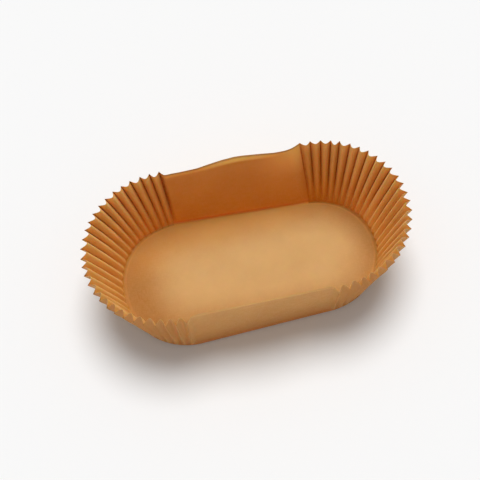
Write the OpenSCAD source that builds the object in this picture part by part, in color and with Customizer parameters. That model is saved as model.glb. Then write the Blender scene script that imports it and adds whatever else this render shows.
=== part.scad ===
// Loaf pan liner: one sheet of baking paper pressed into a long tray.
// The bottom is flat with round ends. The two long walls are smooth panels, and the
// paper that the round ends gather up is pressed into pleats that open towards the rim.

/* [Bottom] */
// Length of the flat bottom
base_length = 180; // [140:5:240]
// Width of the flat bottom
base_width = 92; // [70:2:120]
// Radius of the bend between the bottom and the wall
bend_radius = 2; // [1:0.5:4]

/* [Wall] */
// Height of the pleated wall above the table
wall_height = 56; // [36:1:76]
// How far the rim stands out past the bottom at each end
end_flare = 20; // [12:1:30]
// How far the rim stands out past the bottom at each side
side_flare = 12; // [8:1:20]
// Thickness of the paper
paper_thickness = 0.1; // [0.08:0.02:0.4]

/* [Smooth side panels] */
// Length of each smooth panel, from crease to crease
panel_length = 98; // [70:2:110]
// How much lower the panel's free edge is than the pleats beside it
panel_drop = 1; // [0:0.25:3]
// Length over which the panel folds out to the crease at each end
fold_length = 6; // [3:0.5:14]
// How far the panel's free edge rises in the middle
crest_height = 2.6; // [0:0.2:8]
// Length of that rise along the edge
crest_length = 66; // [30:2:70]
// How far the risen edge curls outward
crest_curl = 0.8; // [0:0.2:3]

/* [Pleats] */
// Number of pleats round each end
pleats = 27; // [17:1:33]
// Depth of a pleat at the rim, from outer crease to inner lobe
pleat_depth = 4.5; // [1.5:0.1:6]
// How fast a pleat deepens above the bend: 1 is evenly, less is sooner
pleat_growth = 0.42; // [0.3:0.02:1]
// How much lower the sharp outer creases end than the rounded inner lobes
crease_drop = 2.1; // [0:0.1:3]
// Share of the wall below which the outer creases are still round
soft_share = 0.5; // [0.1:0.1:1]

/* [Hidden] */

paper_colour = "peru";

// Facets of one pleat, of a panel's fold beside its crease, and of the panel between folds
lobe_facets = 6;
fold_facets = 3;
flat_facets = 8;

// Bend angles of the rings in the bend, where the paper has no pleats
bend_angles = [0, 40, 75];
last_bend = bend_angles[len(bend_angles) - 1];
bend_run = bend_radius * sin(last_bend);
bend_rise = bend_radius * (1 - cos(last_bend));

// Heights of the rings above the bend, as shares of the straight wall
wall_shares = [0.08, 0.3, 0.6, 0.88, 1];

// Powers of the height by which the edge's rise and drop, and the curl, fade down the wall
lift_power = 2;
curl_power = 8;

// A ring's level: [bend angle, share of the straight wall]
levels = concat([for (a = bend_angles) [a, 0]], [for (s = wall_shares) [last_bend, s]]);
last_level = len(levels) - 1;

function unit(v) = v / norm(v);
function flat(v) = [v.x, v.y];
function inward(along) = [along.y, -along.x];

// Plan of a level: the outline that touches the outer creases is two half circles of
// radius end_r, joined by straight lines, and half_l is half its length
function run(level) = bend_radius * sin(level[0]);
function half_l(level) = base_length / 2 + run(level) + (end_flare - bend_run) * level[1];
function end_r(level) = base_width / 2 + run(level) + (side_flare - bend_run) * level[1];
function straight_l(level) = half_l(level) - end_r(level);
function half_round(level) = 2 * straight_l(level) + PI * end_r(level);
function rise(level) = bend_radius * (1 - cos(level[0])) + (wall_height - bend_rise) * level[1];
function depth(level) = level[1] == 0 ? 0 : pleat_depth * pow(level[1], pleat_growth);

// Distance along the outline from the middle of a side to the crease that ends its panel
function panel_end(level) =
    let (past = panel_length / 2 - straight_l(level), r = end_r(level))
    past < 0 ? panel_length / 2 : straight_l(level) + r * asin(past / r) * PI / 180;

// Point and outward normal at a distance u along half the outline, counted from the
// middle of the +Y side towards +X
function outline_at(level, u) =
    let (r = end_r(level), straight = straight_l(level), turned = (u - straight) / r * 180 / PI)
    u <= straight ? [[u, r], [0, 1]] :
    turned >= 180 ? [[straight - (u - straight - PI * r), -r], [0, -1]] :
    [[straight + r * sin(turned), r * cos(turned)], [sin(turned), cos(turned)]];

// A point of the paper: u along the outline, set in by `inset` and lifted by `lift` at the rim
function paper_at(level, u, inset, lift) =
    let (p = outline_at(level, u), q = p[0] - p[1] * inset)
    [q.x, q.y, rise(level) + lift * pow(level[1], lift_power)];

// How far the paper lies from crease, 0, to lobe, 1: a soft wave at the foot of the wall,
// and above soft_share sharp creases with a round lobe between each two
function lobe_at(level, turn) = pow(abs(sin(turn)), 2 - min(1, level[1] / soft_share));

// Pleats of one end, from the crease beside one panel to just before the other
function pleated_end(level) =
    let (
        first = panel_end(level),
        count = pleats * lobe_facets,
        step = (half_round(level) - 2 * first) / count
    )
    [for (i = [0:count - 1])
        let (
            turn = 180 * i / lobe_facets,
            lift = crease_drop * (abs(sin(turn)) - 1)
        )
        paper_at(level, first + step * i, depth(level) * lobe_at(level, turn), lift)];

// Height of the soft crest at a distance x from the middle of a panel, 0 to 1
function crest(x) = abs(x) < crest_length / 2 ? pow(cos(180 * x / crest_length), 2) : 0;

// Smooth panel of the -Y side, drawn from its +X crease to just before its -X crease.
// Between its folds the panel is set in as far as the lobes of the pleats.
function smooth_panel(level) =
    let (
        end = panel_end(level),
        steps = concat(
            [for (i = [0:fold_facets - 1]) end - fold_length * i / fold_facets],
            [for (i = [0:flat_facets]) (end - fold_length) * (1 - 2 * i / flat_facets)],
            [for (i = [fold_facets - 1:-1:1]) -end + fold_length * i / fold_facets]
        )
    )
    [for (x = steps)
        let (
            folded = sin(min(90, 90 * (end - abs(x)) / fold_length)),
            curl = crest_curl * crest(x) * pow(level[1], curl_power),
            lift = crest_height * crest(x) - panel_drop * folded - crease_drop * (1 - folded),
            p = paper_at(level, abs(x), depth(level) * folded - curl, lift)
        )
        [sign(x) * p.x, -p.y, p.z]];

function half_turned(points) = [for (p = points) [-p.x, -p.y, p.z]];

// One closed ring of the outer face of the paper, clockwise from the +Y side's crease
function outer_ring(level) =
    let (end_and_side = concat(pleated_end(level), smooth_panel(level)))
    concat(end_and_side, half_turned(end_and_side));

// The inner face: the same ring set in by the paper's thickness, square to the paper
function inner_ring(level, is_rim) =
    let (ring = outer_ring(level), n = len(ring))
    [for (i = [0:n - 1])
        let (
            before = unit(flat(ring[i] - ring[(i + n - 1) % n])),
            after = unit(flat(ring[(i + 1) % n] - ring[i])),
            middle = unit(inward(before) + inward(after)),
            mitre = paper_thickness * sin(level[0]) / max(0.5, middle * inward(before)),
            lift = is_rim ? 0 : paper_thickness * cos(level[0])
        )
        ring[i] + [middle.x * mitre, middle.y * mitre, lift]];

// Skin through rings of equal length, closed by a flat face at each end. The first half of
// the rings is the outer face of the paper and the second half is the inner one. Its quads
// are split the other way, so both faces have the same folds and stay clear of each other.
module skin(rings) {
    n = len(rings[0]);
    polyhedron(
        points = [for (ring = rings) each ring],
        faces = concat(
            [[for (i = [n - 1:-1:0]) i]],
            [for (k = [0:len(rings) - 2], i = [0:n - 1])
                let (j = (i + 1) % n, a = k * n + i, b = k * n + j)
                each k < len(rings) / 2 ?
                    [[a, b, a + n], [b, b + n, a + n]] :
                    [[a, b, b + n], [a, b + n, a + n]]],
            [[for (i = [0:n - 1]) (len(rings) - 1) * n + i]]
        )
    );
}

module liner() {
    color(paper_colour)
        skin(concat(
            [for (k = [0:last_level]) outer_ring(levels[k])],
            [for (k = [last_level:-1:0]) inner_ring(levels[k], k == last_level)]
        ));
}

liner();
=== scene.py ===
"""Dresses the loaf pan liner: one sheet of brown baking paper with pleats round both ends."""

import math

import bpy
import numpy as np
from mathutils import Matrix, Vector


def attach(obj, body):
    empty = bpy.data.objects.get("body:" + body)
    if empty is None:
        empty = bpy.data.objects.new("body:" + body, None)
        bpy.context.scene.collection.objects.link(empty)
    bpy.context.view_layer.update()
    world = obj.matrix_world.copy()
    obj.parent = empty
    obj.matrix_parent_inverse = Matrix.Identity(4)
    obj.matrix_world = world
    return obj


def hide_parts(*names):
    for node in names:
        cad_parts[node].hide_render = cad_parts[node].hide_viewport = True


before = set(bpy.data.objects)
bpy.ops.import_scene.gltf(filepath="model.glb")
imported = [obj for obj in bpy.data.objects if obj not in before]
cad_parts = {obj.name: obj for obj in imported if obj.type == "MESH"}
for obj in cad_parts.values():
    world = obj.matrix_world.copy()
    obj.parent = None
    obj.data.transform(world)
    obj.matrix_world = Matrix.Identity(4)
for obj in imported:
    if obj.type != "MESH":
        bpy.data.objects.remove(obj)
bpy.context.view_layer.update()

# Sizes of the sheet, in metres
MM = 0.001
BASE_L, BASE_W, BEND_R = 180 * MM, 92 * MM, 2 * MM
WALL_H, END_FLARE, SIDE_FLARE = 56 * MM, 20 * MM, 12 * MM
PANEL_DROP = 1 * MM
PAPER_T = 0.1 * MM
PANEL_L = 98 * MM
CREST_H, CREST_L, CREST_CURL, CREST_X = 2.6 * MM, 66 * MM, 1.6 * MM, 3 * MM
PLEATS = 27
PLEAT_DEPTH, PLEAT_GROWTH = 4.5 * MM, 0.34
CREASE_DROP = 2.1 * MM
TUCK_OFF, TUCK_WIDTH, TUCK_HEIGHT, TUCK_SHARES = 1.2 * MM, 0.3 * MM, 0.2 * MM, (0.3, 0.6)
SOFT_SHARE = 0.5
# Half the distance between the centres of the bottom's two round ends
ARC_X = (BASE_L - BASE_W) / 2
BASE_TAPER = 0.045
# How much shorter the bottom is at its left and right ends, and how much narrower at its back
BASE_SHORT, BASE_NARROW = [1.8 * MM, 1.4 * MM], 2.6 * MM
# Widths of the folds beside the creases that end the panels: front panel, then back panel
PANEL_FOLDS = [[5 * MM, 6 * MM], [4 * MM, 12 * MM]]
# Share of a fold's width that is left at its foot
FOLD_AT_FOOT = 0.6
# How far the creases lean along the outline at their feet, in pleats, against the pleat's number.
# The right end is counted from the back panel round to the front one, and the left end from
# the front panel round to the back one.
LEAN = [{0: 0.55, 5: -0.1, 10: -0.65, 14: -0.45, 27: 0.0}, {0: 0.0, 16: 1.2, 19: 1.15, 27: 0.5}]
# How far the rim as a whole has slid to the right, and how much higher it stands at the right end
RIM_SLIDE, RIM_TILT = 0.4 * MM, 0.7 * MM
CURL_POWER = 14
# Spread of the pleats: how far creases stand off their even places and drift up the wall, in
# pleats, and how uneven the lobes' depth and the rim's height are
CREASE_SHIFT, CREASE_DRIFT, DRIFT_PIVOT = 0.035, 0.05, 0.4
LOBE_SPREAD, RISE_SPREAD, FAINTEST_LINE = 0.05, 0.15 * MM, 0.55
# How much painted shade deepens the colour in the grooves, and how much painted light pales the pleats over
# all, at the right end and at the left one
GROOVE_SHADE, PLEAT_PALE = np.array([1.0, 0.6]), np.array([0, 0.17])

# Rows of the mesh: shares of the bottom's half width, bend angles, shares of the straight wall
BOTTOM_SHARES = [0.02, 0.12, 0.25, 0.4, 0.55, 0.7, 0.82, 0.9, 0.96, 0.985]
BEND_ANGLES = [0, 15, 30, 45, 60, 75]
LAST_BEND = math.radians(BEND_ANGLES[-1])
WALL_SHARES = [
    0.02, 0.045, 0.075, 0.11, 0.15, 0.2, 0.25, 0.3, 0.36, 0.42, 0.48, 0.54,
    0.6, 0.66, 0.72, 0.78, 0.83, 0.88, 0.92, 0.95, 0.97, 0.985, 0.993, 1.0,
]

# Columns of the mesh: phases of one pleat from crease to crease, and shares of a panel
PLEAT_PHASES = [
    0, 0.025, 0.06, 0.1, 0.13, 0.16, 0.19, 0.24, 0.32, 0.41,
    0.5, 0.59, 0.68, 0.76, 0.81, 0.84, 0.87, 0.9, 0.94, 0.975,
]
FOLD_COLUMNS, FLAT_COLUMNS = 12, 36

# Waves of the crinkled paper: how many, their lengths and their size together
CRINKLES, CRINKLE_LENGTHS, CRINKLE_SIZE = 28, (4 * MM, 14 * MM), 0.07 * MM

SEED = 11


def smooth(low, high, x):
    """0 below low, 1 above high, and a soft step between."""
    t = np.clip((x - low) / (high - low), 0, 1)
    return t * t * (3 - 2 * t)


def add_camera():
    """Looks down on the mouth from the front, as the photograph does, a little turned and rolled."""
    elevation, yaw, roll = math.radians(61.208), math.radians(-4.171), math.radians(-7.77)
    distance, target = 745.707 * MM, Vector((-2.618 * MM, 22.843 * MM, 0))
    focal_px, frame_px, sensor = 1050, 480, 36
    back = Vector((
        math.sin(yaw) * math.cos(elevation),
        -math.cos(yaw) * math.cos(elevation),
        math.sin(elevation),
    ))
    right = (-back).cross(Vector((0, 0, 1))).normalized()
    up = right.cross(-back)
    right_rolled = math.cos(roll) * right + math.sin(roll) * up
    up_rolled = -math.sin(roll) * right + math.cos(roll) * up
    camera = bpy.data.objects.new("camera", bpy.data.cameras.new("camera"))
    camera.data.sensor_width = sensor
    camera.data.lens = focal_px / frame_px * sensor
    camera.data.clip_start = 0.01
    turn = Matrix((right_rolled, up_rolled, back)).transposed().to_4x4()
    camera.matrix_world = Matrix.Translation(target + distance * back) @ turn
    bpy.context.scene.collection.objects.link(camera)
    bpy.context.scene.camera = camera


def outline(half_l, end_r, u):
    """Points and outward normals of a stadium, at distances u from the middle of its +Y side towards +X."""
    straight = half_l - end_r
    half = 2 * straight + np.pi * end_r
    turned = np.where(u % (2 * half) >= half, -1.0, 1.0)
    v = u % half
    angle = np.clip((v - straight) / end_r, 0, np.pi)
    past = np.maximum(v - straight - np.pi * end_r, 0)
    x = np.minimum(v, straight) + end_r * np.sin(angle) - past
    point = np.stack([turned * x, turned * end_r * np.cos(angle)], -1)
    normal = np.stack([turned * np.sin(angle), turned * np.cos(angle)], -1)
    return point, normal


def columns():
    """One entry a column round the sheet: its side, pleat, 0, or panel, 1, which one, and its phase."""
    fold = np.linspace(0, 1, FOLD_COLUMNS, endpoint=False)
    table = []
    for side in (0, 1):
        for pleat in range(PLEATS):
            table += [(side, 0, pleat, p) for p in PLEAT_PHASES]
        table += [(side, 1, 0, p) for p in fold]
        table += [(side, 1, 1, p) for p in np.linspace(0, 1, FLAT_COLUMNS, endpoint=False)]
        table += [(side, 1, 2, p) for p in fold]
    return np.array(table, float).T


def crinkle(points):
    """How far the handled paper stands in or out of its smooth form: a sum of crossing waves."""
    rng = np.random.default_rng(SEED + 1)
    total = 0
    for wave in range(CRINKLES):
        direction = rng.normal(0, 1, 3)
        direction /= np.linalg.norm(direction)
        length = rng.uniform(*CRINKLE_LENGTHS)
        total = total + np.sin(2 * np.pi * (points @ direction / length + rng.uniform()))
    return total * CRINKLE_SIZE / math.sqrt(CRINKLES)


def draw_chances():
    """Small differences between the pleats: one row for the right end and one for the left."""
    rng = np.random.default_rng(SEED)
    shift, drift = np.zeros((2, PLEATS + 1)), np.zeros((2, PLEATS + 1))
    shift[:, 1:-1] = rng.normal(0, CREASE_SHIFT, (2, PLEATS - 1))
    drift[:, 1:-1] = rng.normal(0, CREASE_DRIFT, (2, PLEATS - 1))
    return {
        "crease_at": np.arange(PLEATS + 1) + shift,
        "drift": drift,
        "lobe_depth": 1 + rng.normal(0, LOBE_SPREAD, (2, PLEATS)),
        "lobe_rise": rng.normal(0, RISE_SPREAD, (2, PLEATS)),
        "crease_rise": rng.normal(0, RISE_SPREAD, (2, PLEATS + 1)),
        "tuck_size": rng.uniform(0, 1, (2, PLEATS)),
        "line_strength": rng.uniform(FAINTEST_LINE, 1, (2, PLEATS + 1)),
    }


class Wall:
    """The wall as a grid of points: rows from the foot of the bend up to the rim, columns round it.

    Side 0 holds the pleats of the right end and then the front panel, and side 1 holds the
    pleats of the left end and then the back panel.
    """

    def __init__(self):
        self.side, in_panel, self.which, self.phase = columns()
        self.side_i, self.which = self.side.astype(int), self.which.astype(int)
        self.pleat, self.panel = in_panel == 0, in_panel == 1
        self.right_side, self.left_side = self.side == 0, self.side == 1
        self.back_panel = self.left_side & self.panel
        self.low = np.where(self.pleat, self.which, 0)
        self.chance = draw_chances()
        self.lay_out_rows()
        self.lay_out_columns()
        self.points = self.shape()
        self.measure()

    def each(self, name, step=0):
        """The chance called name at every column: its pleat's own, or at step 1 that of the next."""
        return self.at(self.chance[name], step)

    def at(self, table, step=0):
        """Every column's entry in a table with one row a side and one column a pleat or crease."""
        return table[self.side_i, np.where(self.pleat, self.low + step, 0)]

    def lay_out_rows(self):
        """The stadium that touches the outer creases at each row, and the pleats' depth and pitch."""
        last_run, last_rise = BEND_R * math.sin(LAST_BEND), BEND_R * (1 - math.cos(LAST_BEND))
        self.angle = np.radians(BEND_ANGLES + BEND_ANGLES[-1:] * len(WALL_SHARES))[:, None]
        self.share = np.array([0.0] * len(BEND_ANGLES) + WALL_SHARES)[:, None]
        run, rise = BEND_R * np.sin(self.angle), BEND_R * (1 - np.cos(self.angle))
        self.half_l = BASE_L / 2 + run + (END_FLARE - last_run) * self.share
        self.end_r = BASE_W / 2 + run + (SIDE_FLARE - last_run) * self.share
        self.height = rise + (WALL_H - last_rise) * self.share
        self.depth = PLEAT_DEPTH * self.share ** PLEAT_GROWTH
        straight = self.half_l - self.end_r
        self.half = 2 * straight + np.pi * self.end_r
        past = PANEL_L / 2 - straight
        reach = np.arcsin(np.clip(past / self.end_r, 0, 1))
        self.first = np.where(past < 0, PANEL_L / 2, straight + self.end_r * reach)
        self.pitch = (self.half - 2 * self.first) / PLEATS

    def lay_out_columns(self):
        """Distance along the outline of every column at every row."""
        share, phase, which = self.share, self.phase, self.which
        narrower = FOLD_AT_FOOT + (1 - FOLD_AT_FOOT) * share
        widths = np.array(PANEL_FOLDS)
        self.folds = [widths[self.side_i, k] * narrower for k in (0, 1)]
        creases = np.arange(PLEATS + 1)
        lean = np.array([np.interp(creases, list(known), list(known.values())) for known in LEAN])
        start, end = (
            self.each("crease_at", step) + self.each("drift", step) * (share - DRIFT_PIVOT)
            + self.at(lean, step) * (1 - share)
            for step in (0, 1)
        )
        u_pleat = self.first + self.pitch * (start + (end - start) * phase)
        start_lean = lean[self.side_i, PLEATS] * self.pitch * (1 - share)
        end_lean = lean[1 - self.side_i, 0] * self.pitch * (1 - share)
        inner = 2 * self.first - self.folds[0] - self.folds[1] + end_lean - start_lean
        along = np.where(
            which == 0, self.folds[0] * phase,
            self.folds[0] + np.where(which == 1, inner * phase, inner + self.folds[1] * phase),
        )
        self.u_panel = self.half - self.first + start_lean + along
        self.u = self.side * self.half + np.where(self.pleat, u_pleat, self.u_panel)

    def shape_pleats(self):
        """Inset and lift of the pleats: soft waves at the foot, sharp creases and round lobes above."""
        share, phase = self.share, self.phase
        self.lobe = np.sin(np.pi * phase)
        wave = self.lobe ** (2 - np.minimum(1, share / SOFT_SHARE))
        # Measured from the light flank of a pleat, 0, to its shaded one, 1, which holds a small tuck
        self.away = np.where(self.right_side, phase, 1 - phase)
        off_tuck = (1 - self.away) * self.pitch - TUCK_OFF
        tuck = self.each("tuck_size") * np.exp(-(off_tuck / TUCK_WIDTH) ** 2) * smooth(*TUCK_SHARES, share)
        inset = self.depth * wave * self.each("lobe_depth") - TUCK_HEIGHT * tuck
        lift = CREASE_DROP * share ** 2 * (self.lobe - 1)
        crease_rise = self.each("crease_rise") * (1 - phase) + self.each("crease_rise", 1) * phase
        return inset, lift + share ** 2 * (self.each("lobe_rise") * self.lobe + (1 - self.lobe) * crease_rise)

    def shape_panels(self):
        """Inset and lift of the panels, which lie as deep as the lobes and fold out to the end creases."""
        share, quarter = self.share, np.pi / 2 * self.phase
        folded = np.where(self.which == 0, np.sin(quarter), np.where(self.which == 2, np.cos(quarter), 1))
        crest_x = self.u_panel - self.half - np.where(self.left_side, CREST_X, 0)
        self.crest = np.where(np.abs(crest_x) < CREST_L / 2, np.cos(np.pi * crest_x / CREST_L) ** 2, 0)
        curl = CREST_CURL * self.crest * share ** CURL_POWER
        lift = CREST_H * self.crest - PANEL_DROP * folded - CREASE_DROP * (1 - folded)
        return self.depth * folded - curl, lift * share ** 2

    def shape(self):
        """Points of the wall: the outline set in and lifted, and bent as the photographed sheet is."""
        share = self.share
        inset, lift = (
            np.where(self.pleat, of_pleat, of_panel)
            for of_pleat, of_panel in zip(self.shape_pleats(), self.shape_panels())
        )
        point, normal = outline(self.half_l, self.end_r, self.u)
        plan = point - normal * inset[..., None]
        # The bottom tapers to the right, and is a little shorter and narrower than its nominal size
        plan[..., 1] *= 1 - BASE_TAPER * (1 - share) * np.clip(plan[..., 0] / ARC_X, -1, 1)
        beyond = np.clip((np.abs(plan[..., 0]) - ARC_X) / (BASE_W / 2), 0, 1) ** 2
        short = np.where(plan[..., 0] < 0, BASE_SHORT[0], -BASE_SHORT[1])
        plan[..., 0] += short * beyond * (1 - share)
        plan[..., 1] -= BASE_NARROW * (1 - share) * np.clip(plan[..., 1] / (BASE_W / 2), 0, 1) ** 4
        lift = lift + RIM_TILT * share * plan[..., 0] / (BASE_L / 2 + END_FLARE)
        plan[..., 0] += RIM_SLIDE * share
        points = np.concatenate([plan, (self.height + lift)[..., None]], -1)
        points[..., :2] += crinkle(points)[..., None] * normal * smooth(0, 0.12, share)[..., None]
        return points

    def measure(self):
        """What the marks of the material are worked out from."""
        x, phase = self.points[..., 0], self.phase
        self.no_bottom = np.zeros((len(BOTTOM_SHARES), len(phase)))
        self.bottom_share = np.array(BOTTOM_SHARES)[:, None] + self.no_bottom
        self.towards_end = smooth(45 * MM, 105 * MM, np.abs(x))
        # The right corner of the back panel, which is painted lighter as if lit
        self.lit_corner = smooth(5 * MM, 50 * MM, x) * self.back_panel
        off = np.where(self.pleat, np.minimum(phase, 1 - phase) * self.pitch, 1)
        off = np.where(self.panel & (self.which == 0), phase * self.folds[0], off)
        self.off_crease = np.where(self.panel & (self.which == 2), (1 - phase) * self.folds[1], off)


def bottom_points(ring):
    """Rows of the bottom, from near the line between the two arc centres out to the wall's first ring."""
    spine = np.stack([np.clip(ring[:, 0], -ARC_X, ARC_X), 0 * ring[:, 0]], -1)
    level = np.zeros((len(ring), 1))
    return np.array([np.concatenate([spine + (ring[:, :2] - spine) * k, level], -1) for k in BOTTOM_SHARES])


def ground_marks(wall):
    """How the bottom's colour changes: painted shade towards its edges, painted light along its back, and the
    wall's colour up the bend.
    """
    foot_turn, more_at_ends = 12, 60
    edge_shift_left, edge_shift_right = 0.2, 0.12
    dimmer_left, dimmer_right = 0.35, 0.55
    ring, bottom = wall.points[0], wall.bottom_share
    climb = smooth(0, np.radians(foot_turn + more_at_ends * wall.towards_end), wall.angle)
    to_right = ring[:, 0] / (BASE_L / 2)
    # Painted shade towards the bottom's edges
    edge = smooth(0.3, 1, bottom - np.where(to_right < 0, edge_shift_left, edge_shift_right) * to_right)
    # Painted light along the bottom's back, weaker towards the ends
    dimmer = np.where(to_right < 0, dimmer_left, dimmer_right) * smooth(0.25, 0.85, np.abs(to_right))
    painted_back_light = smooth(0, BASE_W / 2, ring[:, 1]) * (1 - dimmer)
    return {
        "climb": np.concatenate([wall.no_bottom, climb]),
        "edge": np.concatenate([edge, np.ones_like(wall.u)]),
        "back": np.concatenate([bottom * painted_back_light, painted_back_light + 0 * wall.u]),
    }


def wall_shade_mark(wall):
    """Painted shade of the wall, from 0, lit, to 1, shaded: deepest low down, in the grooves and under the
    curled lip, with painted light up the wall, towards the ends and in the lit corner of the back panel.
    """
    at_foot, less_at_rim, less_at_ends, less_at_right_end = 0.9, 0.45, 0.6, 0.3
    middle_groove = 0.43
    share, towards_end = wall.share, wall.towards_end
    groove = np.where(wall.pleat, 0.5 * (1 - wall.lobe) + 0.5 * wall.away, middle_groove) - middle_groove
    near_end = smooth(80 * MM, 105 * MM, wall.points[..., 0]) * (1 - share)
    right_shade = smooth(0, 0.4, share) * (1 - 0.25 * smooth(8, 14, wall.which))
    shade = np.where(wall.right_side, right_shade, 1) * GROOVE_SHADE[wall.side_i]
    # Painted shade, deepest at the foot, and painted light up the wall and towards the ends
    deep = at_foot - less_at_rim * share ** 1.5 - less_at_ends * towards_end - less_at_right_end * near_end
    # Painted shade in the grooves and on the pleats' shaded flanks, and painted light on their lit flanks and
    # on the left end's pleats
    deep = deep + shade * groove - PLEAT_PALE[wall.side_i] * wall.pleat
    right_foot = (0.2 - 0.5 * smooth(4, 12, wall.which)) * wall.right_side * wall.pleat
    deep = deep + right_foot * (1 - share) ** 2
    deep = deep + (at_foot - deep) * towards_end * (1 - smooth(0, 0.04, share))
    # Painted shade under the curled lip, and painted light in the lit corner
    shade_under_lip = np.exp(-((share - 0.92) / 0.02) ** 2) * wall.crest * wall.panel
    deep = deep - 0.35 * wall.lit_corner * share ** 1.5 + 0.3 * shade_under_lip
    return np.concatenate([wall.no_bottom, np.clip(deep, 0, 1)])


def line_strength(wall):
    """How strong the line of each column's nearest crease is."""
    nearest = np.where(wall.phase < 0.5, wall.each("line_strength"), wall.each("line_strength", 1))
    return np.where(wall.panel, 0.8, nearest)


def fold_shade_mark(wall):
    """Painted shade: dark lines in the folds and tucks, and a broad soft shade beside the back panel."""
    width_at_rim, wider_at_foot = 0.45 * MM, 0.3 * MM
    tuck_line_width, tuck_strength = 0.22 * MM, 0.4
    broad_off, broad_width = 0.8 * MM, 1.4 * MM
    share, phase, which = wall.share, wall.phase, wall.which
    width = width_at_rim + wider_at_foot * (1 - share)
    line = np.exp(-(wall.off_crease / width) ** 2) * line_strength(wall) * smooth(0.1, 0.7, share)
    line = line * np.where(wall.right_side, 1 - 0.8 * smooth(0.9, 0.97, share), 1)
    off_tuck = (1 - wall.away) * wall.pitch - TUCK_OFF - TUCK_WIDTH
    tuck_line = np.exp(-(off_tuck / tuck_line_width) ** 2) * wall.each("tuck_size") * wall.pleat
    in_wall = smooth(*TUCK_SHARES, share) * (1 - smooth(0.85, 1, share))
    line = np.maximum(line, tuck_strength * tuck_line * in_wall)
    beside = np.where(wall.back_panel & (which == 0), phase * wall.folds[0], 1)
    beside = np.where(wall.right_side & wall.pleat & (which == 0), phase * wall.pitch, beside)
    broad = np.where(wall.right_side, 0.8 - 0.7 * share, 0.75)
    broad = broad * np.exp(-((beside - broad_off) / broad_width) ** 2) * smooth(0, 0.5, share)
    return np.concatenate([wall.no_bottom, np.maximum(line, broad)])


def bend_highlight_mark(wall):
    """A thin painted highlight where the pleated ends are bent up, and a broader painted light below the
    panels that lifts the bend's shade.
    """
    thin_strength, wide_strength, above_strength = 0.12, 0.9, 0.16
    thin_width, wide_width = 0.012, 0.025
    to_fold = wall.bottom_share - 1
    at_ends = wall.towards_end[0]
    thin = np.concatenate([np.exp(-(to_fold / thin_width) ** 2), (wall.angle == 0) + 0 * wall.u])
    in_bend = wide_strength * (1 - smooth(0, math.radians(70), wall.angle))
    foot = np.maximum(above_strength * (1 - smooth(0.01, 0.09, wall.share)), in_bend)
    wide = np.concatenate([wide_strength * np.exp(-(to_fold / wide_width) ** 2), foot * wall.panel])
    return thin_strength * at_ends * thin + (1 - at_ends) * wide


def rim_marks(wall):
    """A painted highlight runs along the rim, strongest on the curled lip, in the lit corner of the back
    panel and on the lobes' tops.

    The rim is darker, most of all at the creases' tips, where painted crease shade reaches it, and thin lines
    of painted shade lie in the middle creases of the left end.
    """
    corner_strength, lobe_strength, ink_width = 0.85, 0.35, 0.25 * MM
    share = wall.share
    # Painted highlight along the rim
    lip = (0.6 + 0.4 * wall.crest) * smooth(0.91, 0.95, share)
    lip = np.maximum(lip, corner_strength * wall.lit_corner ** 2 * smooth(0.5, 1, share))
    lip = np.where(wall.panel, lip, lobe_strength * wall.lobe * smooth(0.85, 0.97, share))
    # The rim is darker, most at the creases' tips, where painted crease shade reaches it
    in_crease = (1 - wall.lobe) ** 2 * np.where(wall.right_side, 0.4, 1)
    near_crease = np.where(wall.pleat, in_crease, 0.8)
    # Thin lines of painted shade in the middle creases of the left end
    middle = wall.left_side * smooth(6, 11, wall.which) * (1 - smooth(20, 24, wall.which))
    crease_shade_lines = np.exp(-(wall.off_crease / ink_width) ** 2) * line_strength(wall) * middle
    crease_shade_lines = crease_shade_lines * smooth(0.4, 0.9, share)
    dark_rim_and_crease_shade = np.maximum(smooth(0.974, 0.99, share) * near_crease, crease_shade_lines)
    return {
        "lip": np.concatenate([wall.no_bottom, lip]),
        "dark_rim_and_crease_shade": np.concatenate([wall.no_bottom, dark_rim_and_crease_shade]),
    }


def build_sheet():
    """Points of the sheet, rows from the middle of the bottom up to the rim, and what its material reads."""
    wall = Wall()
    sheet = np.concatenate([bottom_points(wall.points[0]), wall.points])
    marks = ground_marks(wall)
    marks["deep"] = wall_shade_mark(wall)
    marks["fold_shade"] = fold_shade_mark(wall)
    marks["bend_highlight"] = bend_highlight_mark(wall)
    marks.update(rim_marks(wall))
    return sheet, marks


def sheet_normals(sheet):
    """Unit normals of the grid that point to the outside of the liner."""
    along = np.roll(sheet, -1, 1) - np.roll(sheet, 1, 1)
    up = np.gradient(sheet, axis=0)
    normal = np.cross(up, along)
    normal /= np.linalg.norm(normal, axis=-1, keepdims=True)
    return normal


def make_liner():
    sheet, marks = build_sheet()
    outside = sheet_normals(sheet)
    inner = sheet - outside * PAPER_T
    rows, n = sheet.shape[:2]
    points = np.concatenate([sheet.reshape(-1, 3), inner.reshape(-1, 3)])
    k, i = np.meshgrid(np.arange(rows - 1), np.arange(n), indexing="ij")
    j = (i + 1) % n
    a, b, c, d = k * n + i, k * n + j, (k + 1) * n + j, (k + 1) * n + i
    outer_faces = np.stack([a, d, c, b], -1).reshape(-1, 4)
    inner_faces = outer_faces[:, [0, 3, 2, 1]] + rows * n
    top = (rows - 1) * n + np.arange(n)
    top_next = (rows - 1) * n + (np.arange(n) + 1) % n
    rim = np.stack([top_next, top, top + rows * n, top_next + rows * n], -1)
    faces = np.concatenate([outer_faces, inner_faces, rim]).tolist()
    faces.append(list(range(n)))
    faces.append([rows * n + q for q in range(n)][::-1])
    mesh = bpy.data.meshes.new("baking_paper")
    mesh.from_pydata(points.tolist(), [], faces)
    mesh.validate()
    marks = {name: np.tile(values.ravel(), 2) for name, values in marks.items()}
    marks["outside"] = np.repeat([1.0, 0.0], rows * n)
    for name, values in marks.items():
        attribute = mesh.attributes.new(name, "FLOAT", "POINT")
        attribute.data.foreach_set("value", values.astype(np.float32))
    mesh.shade_smooth()
    mesh.set_sharp_from_angle(angle=math.radians(50))
    liner = bpy.data.objects.new("baking_paper", mesh)
    bpy.context.scene.collection.objects.link(liner)
    return liner


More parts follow.
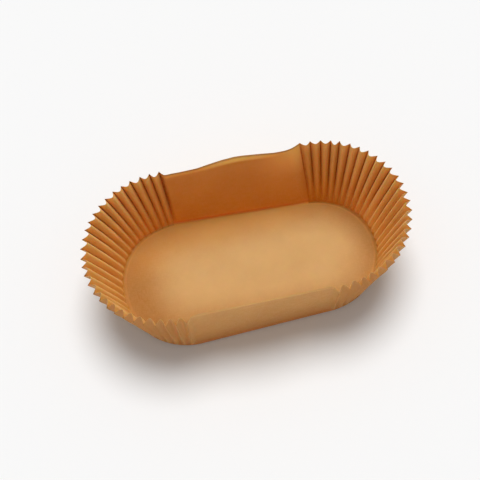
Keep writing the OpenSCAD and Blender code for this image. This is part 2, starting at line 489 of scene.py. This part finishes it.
class Nodes:
    """Short calls that add and link the nodes of one material."""

    def __init__(self, name):
        self.material = bpy.data.materials.new(name)
        self.material.use_nodes = True
        self.tree = self.material.node_tree
        self.shader = self.tree.nodes["Principled BSDF"]

    def add(self, kind, inputs=(), **settings):
        node = self.tree.nodes.new("ShaderNode" + kind)
        for key, value in settings.items():
            setattr(node, key, value)
        for key, value in dict(inputs).items():
            self.put(node.inputs[key], value)
        return node

    def put(self, socket, value):
        if isinstance(value, bpy.types.NodeSocket):
            self.tree.links.new(value, socket)
        else:
            socket.default_value = value

    def attribute(self, name):
        return self.add("Attribute", attribute_name=name).outputs["Fac"]

    def math(self, operation, *values):
        node = self.add("Math", operation=operation)
        for socket, value in zip(node.inputs, values):
            self.put(socket, value)
        return node.outputs["Value"]

    def ramp(self, value, low, high, to_low=0.0, to_high=1.0):
        inputs = {"Value": value, "From Min": low, "From Max": high, "To Min": to_low, "To Max": to_high}
        return self.add("MapRange", inputs).outputs["Result"]

    def noise(self, scale, stretch=(1, 1, 1), detail=3.0, roughness=0.55):
        place = self.add("TexCoord").outputs["Object"]
        mapped = self.add("Mapping", {"Vector": place, "Scale": stretch}).outputs["Vector"]
        inputs = {"Vector": mapped, "Scale": scale, "Detail": detail, "Roughness": roughness}
        return self.add("TexNoise", inputs).outputs["Fac"]

    def mix(self, factor, a, b, blend="MIX"):
        node = self.add("Mix", data_type="RGBA", blend_type=blend)
        self.put(node.inputs["Factor"], factor)
        self.put(node.inputs[6], a)
        self.put(node.inputs[7], b)
        return node.outputs[2]


def paper_material():
    """Brown baking paper: warm tan where it lies flat, with painted shade that makes it deeper orange brown
    up the walls.
    """
    flat_tan = (0.69, 0.43, 0.18, 1)
    # Painted shade towards the bottom's edges, and painted light along its back
    edge_shade_tan = (0.44, 0.205, 0.050, 1)
    back_light_tan = (0.98, 0.48, 0.135, 1)
    # The wall's colours where it is painted lit and where it is painted shaded
    lit_wall = (0.88, 0.55, 0.18, 1)
    shaded_wall = (0.58, 0.255, 0.022, 1)
    outer_tan = (0.60, 0.315, 0.11, 1)
    # Painted shade in the folds and tucks
    fold_shade_brown = (0.40, 0.085, 0.001, 1)
    # Painted highlight on the bend
    bend_highlight_tan = (1.0, 0.47, 0.12, 1)
    # Painted highlight on the rim, the lit corner and the lobes' tops
    highlight_tan = (1.0, 0.69, 0.21, 1)
    # Darker rim, and painted shade in the middle creases of the left end
    edge_grey = (0.17, 0.10, 0.05, 1)
    cloud_brown = (0.42, 0.19, 0.055, 1)
    fibre_tan = (0.75, 0.45, 0.2, 1)
    outside_share, less_outside, edge_share = 0.85, 0.3, 0.65
    n = Nodes("kraft_paper")
    climb, edge, back, deep = (n.attribute(a) for a in ("climb", "edge", "back", "deep"))
    fold_shade, bend_highlight = n.attribute("fold_shade"), n.attribute("bend_highlight")
    dark_rim_and_crease_shade, lip = n.attribute("dark_rim_and_crease_shade"), n.attribute("lip")
    outside = n.attribute("outside")
    fainter = n.ramp(outside, 0, 1, 1, less_outside)
    fibres = n.math("MULTIPLY", n.noise(260, (6, 1, 1)), n.noise(260, (1, 6, 1.5)))
    cloud = n.noise(45, detail=4)
    # The bottom: painted shade towards its edges, and painted light along its back
    flat = n.mix(edge, flat_tan, n.mix(back, edge_shade_tan, back_light_tan))
    # The wall's painted lit and shaded colours
    colour = n.mix(climb, flat, n.mix(deep, lit_wall, shaded_wall))
    colour = n.mix(n.math("MULTIPLY", outside, outside_share), colour, outer_tan)
    colour = n.mix(n.ramp(cloud, 0.3, 0.7, 0, 0.12), colour, cloud_brown, "MULTIPLY")
    colour = n.mix(n.ramp(fibres, 0.15, 0.38, 0.0, 0.16), colour, fibre_tan)
    # Painted highlight on the bend
    colour = n.mix(n.math("MULTIPLY", bend_highlight, fainter), colour, bend_highlight_tan)
    # Painted highlight on the rim
    colour = n.mix(n.math("MULTIPLY", lip, fainter), colour, highlight_tan)
    # Painted shade in the folds and tucks, unevenly strong
    uneven = n.ramp(n.noise(500, detail=2), 0.35, 0.65, 0.6, 1.1)
    uneven = n.math("MULTIPLY", uneven, fainter)
    colour = n.mix(n.math("MULTIPLY", fold_shade, uneven), colour, fold_shade_brown)
    # Darker rim, and painted shade in the middle creases of the left end
    edge_strength = n.math("MULTIPLY", fainter, edge_share)
    colour = n.mix(n.math("MULTIPLY", dark_rim_and_crease_shade, edge_strength), colour, edge_grey)
    n.put(n.shader.inputs["Base Color"], colour)
    n.put(n.shader.inputs["Roughness"], n.ramp(fibres, 0.15, 0.38, 0.62, 0.5))
    n.shader.inputs["Specular IOR Level"].default_value = 0.04
    n.shader.inputs["Subsurface Weight"].default_value = 1.0
    n.shader.inputs["Subsurface Radius"].default_value = (1.0, 0.55, 0.25)
    n.shader.inputs["Subsurface Scale"].default_value = 0.22 * MM
    bump = n.add("Bump", {"Strength": 0.5, "Distance": 0.12 * MM, "Height": fibres})
    n.put(n.shader.inputs["Normal"], bump.outputs["Normal"])
    return n.material


def add_floor():
    mesh = bpy.data.meshes.new("floor")
    size, drop = 3.0, 0.05 * MM
    corners = [(-size, -size, -drop), (size, -size, -drop), (size, size, -drop), (-size, size, -drop)]
    mesh.from_pydata(corners, [], [(0, 1, 2, 3)])
    floor = bpy.data.objects.new("floor", mesh)
    bpy.context.scene.collection.objects.link(floor)
    material = bpy.data.materials.new("pale_floor")
    material.use_nodes = True
    shader = material.node_tree.nodes["Principled BSDF"]
    shader.inputs["Base Color"].default_value = (0.92, 0.92, 0.92, 1)
    shader.inputs["Roughness"].default_value = 0.9
    shader.inputs["Specular IOR Level"].default_value = 0
    mesh.materials.append(material)


def add_light():
    """A pale sky all round and one soft lamp high behind, whose shares of a plain light add up to about 1."""
    sky_share, lamp_share, backdrop = 0.34, 0.69, 0.95
    world = bpy.data.worlds.new("studio")
    bpy.context.scene.world = world
    world.use_nodes = True
    background = world.node_tree.nodes["Background"]
    background.inputs["Color"].default_value = (1, 1, 1, 1)
    # Where it is seen or mirrored, the sky is as pale as the floor, and it lights the object no more
    nodes, links = world.node_tree.nodes, world.node_tree.links
    path = nodes.new("ShaderNodeLightPath")
    seen = path.outputs["Is Camera Ray"]
    for ray in ("Is Glossy Ray", "Is Transmission Ray"):
        either = nodes.new("ShaderNodeMath")
        either.operation = "MAXIMUM"
        links.new(seen, either.inputs[0])
        links.new(path.outputs[ray], either.inputs[1])
        seen = either.outputs["Value"]
    strength = nodes.new("ShaderNodeMapRange")
    strength.inputs["To Min"].default_value = sky_share
    strength.inputs["To Max"].default_value = backdrop
    links.new(seen, strength.inputs["Value"])
    links.new(strength.outputs["Result"], background.inputs["Strength"])
    lamp = bpy.data.lights.new("key", "SUN")
    lamp.angle = math.radians(36)
    towards = Vector((0.17, 0.5, 1.5)).normalized()
    lamp.energy = lamp_share * math.pi / towards.z
    key = bpy.data.objects.new("key", lamp)
    key.location = towards
    key.rotation_euler = towards.to_track_quat("Z", "Y").to_euler()
    bpy.context.scene.collection.objects.link(key)


add_camera()
bpy.context.scene.view_settings.view_transform = "Standard"

liner = make_liner()
liner.data.materials.append(paper_material())
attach(liner, "root")
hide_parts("liner")

add_floor()
add_light()
